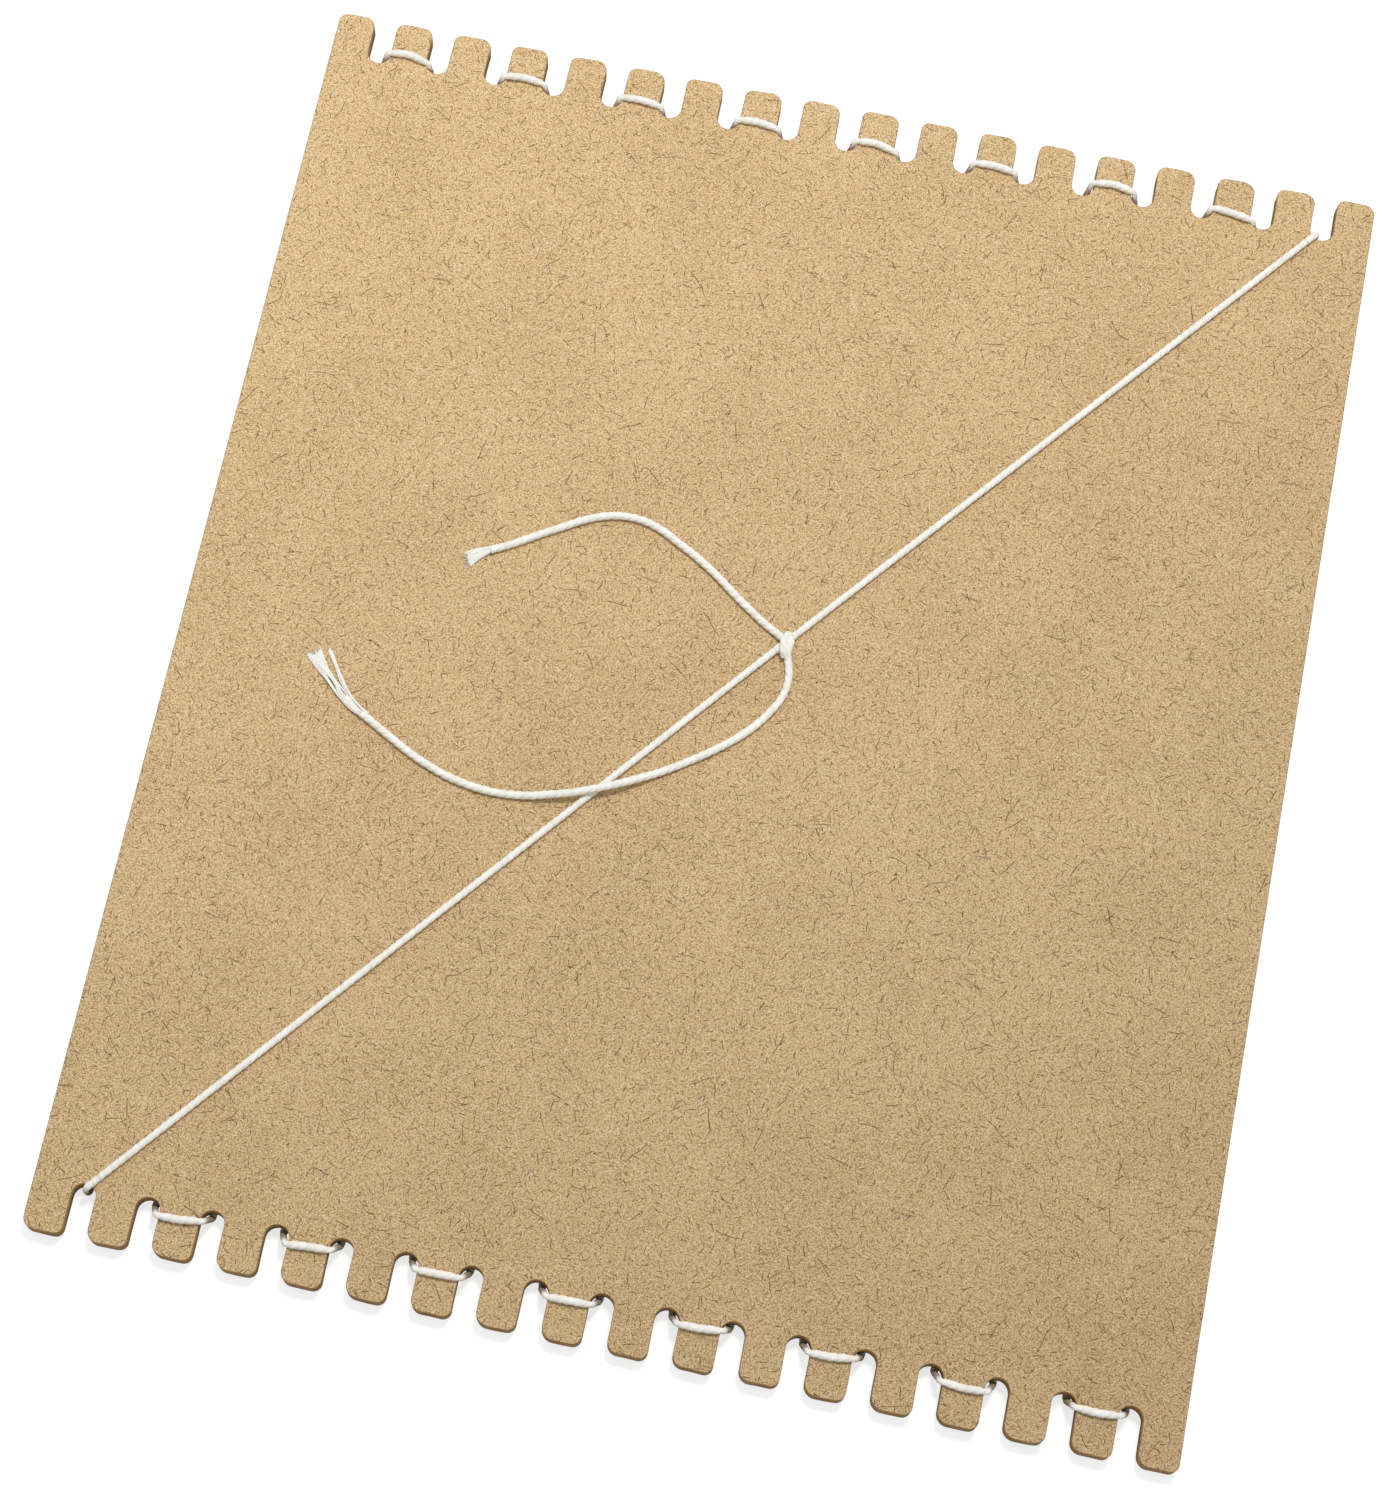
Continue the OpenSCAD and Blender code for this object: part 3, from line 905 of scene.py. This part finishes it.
def cotton(yarn):
    """Bleached cotton: matt and soft, with fine fibres along each ply, and a painted brown shade where it
    runs through the slots.
    """
    material, tree, surface = new_material("cotton_cord")
    place = add(tree, "ShaderNodeAttribute", attribute_name="straight").outputs["Vector"]
    fibres = place_group(tree, yarn, Place=place, Fibre=0.00012, Stretch=7.0)
    tone = ramp(tree, fibres.outputs["Tone"], 0.3, 0.6)
    real_place = add(tree, "ShaderNodeTexCoord").outputs["Object"]
    height = add(tree, "ShaderNodeSeparateXYZ", {0: real_place}).outputs[2]
    # Painted shade: the cord is darkened brown inside the slots, between the board's two faces
    shade_below_top = ramp(tree, height, *SLOT_SHADE_TOP, 0.0, SLOT_SHADE_SHARE)
    in_slot = calc(tree, "MULTIPLY", shade_below_top, ramp(tree, height, *SLOT_SHADE_FOOT))
    clean = tint(tree, COTTON_SHADE, tone, COTTON)
    tree.links.new(tint(tree, clean, in_slot, SLOT_PAINTED_SHADE), surface["Base Color"])
    surface["Roughness"].default_value = 0.9
    surface["Specular IOR Level"].default_value = 0.15
    surface["Sheen Weight"].default_value = 0.2
    add_bump(tree, surface, fibres.outputs["Height"], 0.6, 0.00006)
    return material


# Floor and light

FLOOR_SIZE = 6
FLOOR_GREY = srgb(170, 170, 170)
FLOOR_LIFT = 0.72
SKY_FILL = 0.50
SOFTBOX = {"place": (-0.14, 0.24, 0.66), "size": 0.55, "power": 0.6}
KEY = {"place": (0.07, 0.21, 0.88), "size": 0.14, "power": 4.3}


def make_floor():
    """A wide white floor, which the camera sees a little brighter so that only shadows show on it."""
    half = FLOOR_SIZE / 2
    mesh = bpy.data.meshes.new("floor")
    corners = [(-half, -half, 0), (half, -half, 0), (half, half, 0), (-half, half, 0)]
    mesh.from_pydata(corners, [], [(0, 1, 2, 3)])
    material, tree, surface = new_material("floor_white")
    surface["Base Color"].default_value = FLOOR_GREY
    surface["Roughness"].default_value = 1.0
    surface["Specular IOR Level"].default_value = 0.0
    surface["Emission Color"].default_value = (1, 1, 1, 1)
    seen = add(tree, "ShaderNodeLightPath").outputs["Is Camera Ray"]
    tree.links.new(calc(tree, "MULTIPLY", seen, FLOOR_LIFT), surface["Emission Strength"])
    mesh.materials.append(material)
    floor = bpy.data.objects.new("floor", mesh)
    bpy.context.scene.collection.objects.link(floor)


def make_sky():
    """An even pale fill from all sides, and white where the camera looks past the floor."""
    world = bpy.data.worlds.new("sky")
    world.use_nodes = True
    tree = world.node_tree
    paths = add(tree, "ShaderNodeLightPath").outputs
    seen = calc(tree, "MAXIMUM", paths["Is Camera Ray"], paths["Is Glossy Ray"])
    strength = ramp(tree, seen, 0.0, 1.0, SKY_FILL, 1.0)
    background = tree.nodes["Background"]
    background.inputs["Color"].default_value = (1, 1, 1, 1)
    tree.links.new(strength, background.inputs["Strength"])
    bpy.context.scene.world = world


def make_lamp(name, place, size, power):
    """A square lamp that points at the middle of the board."""
    lamp = bpy.data.lights.new(name, "AREA")
    lamp.size = size
    lamp.energy = power
    piece = bpy.data.objects.new(name, lamp)
    bpy.context.scene.collection.objects.link(piece)
    turn = (-Vector(place)).to_track_quat("-Z", "Y").to_matrix().to_4x4()
    piece.matrix_world = Matrix.Translation(place) @ turn


make_camera()
hairs, mottle, yarn = hairs_group(), mottle_group(), yarn_group()
make_cords(cotton(yarn))
make_board(board_face(hairs, mottle), board_wall(hairs, mottle))
make_floor()
make_sky()
make_lamp("softbox", **SOFTBOX)
make_lamp("key", **KEY)
bpy.context.scene.view_settings.view_transform = "Standard"
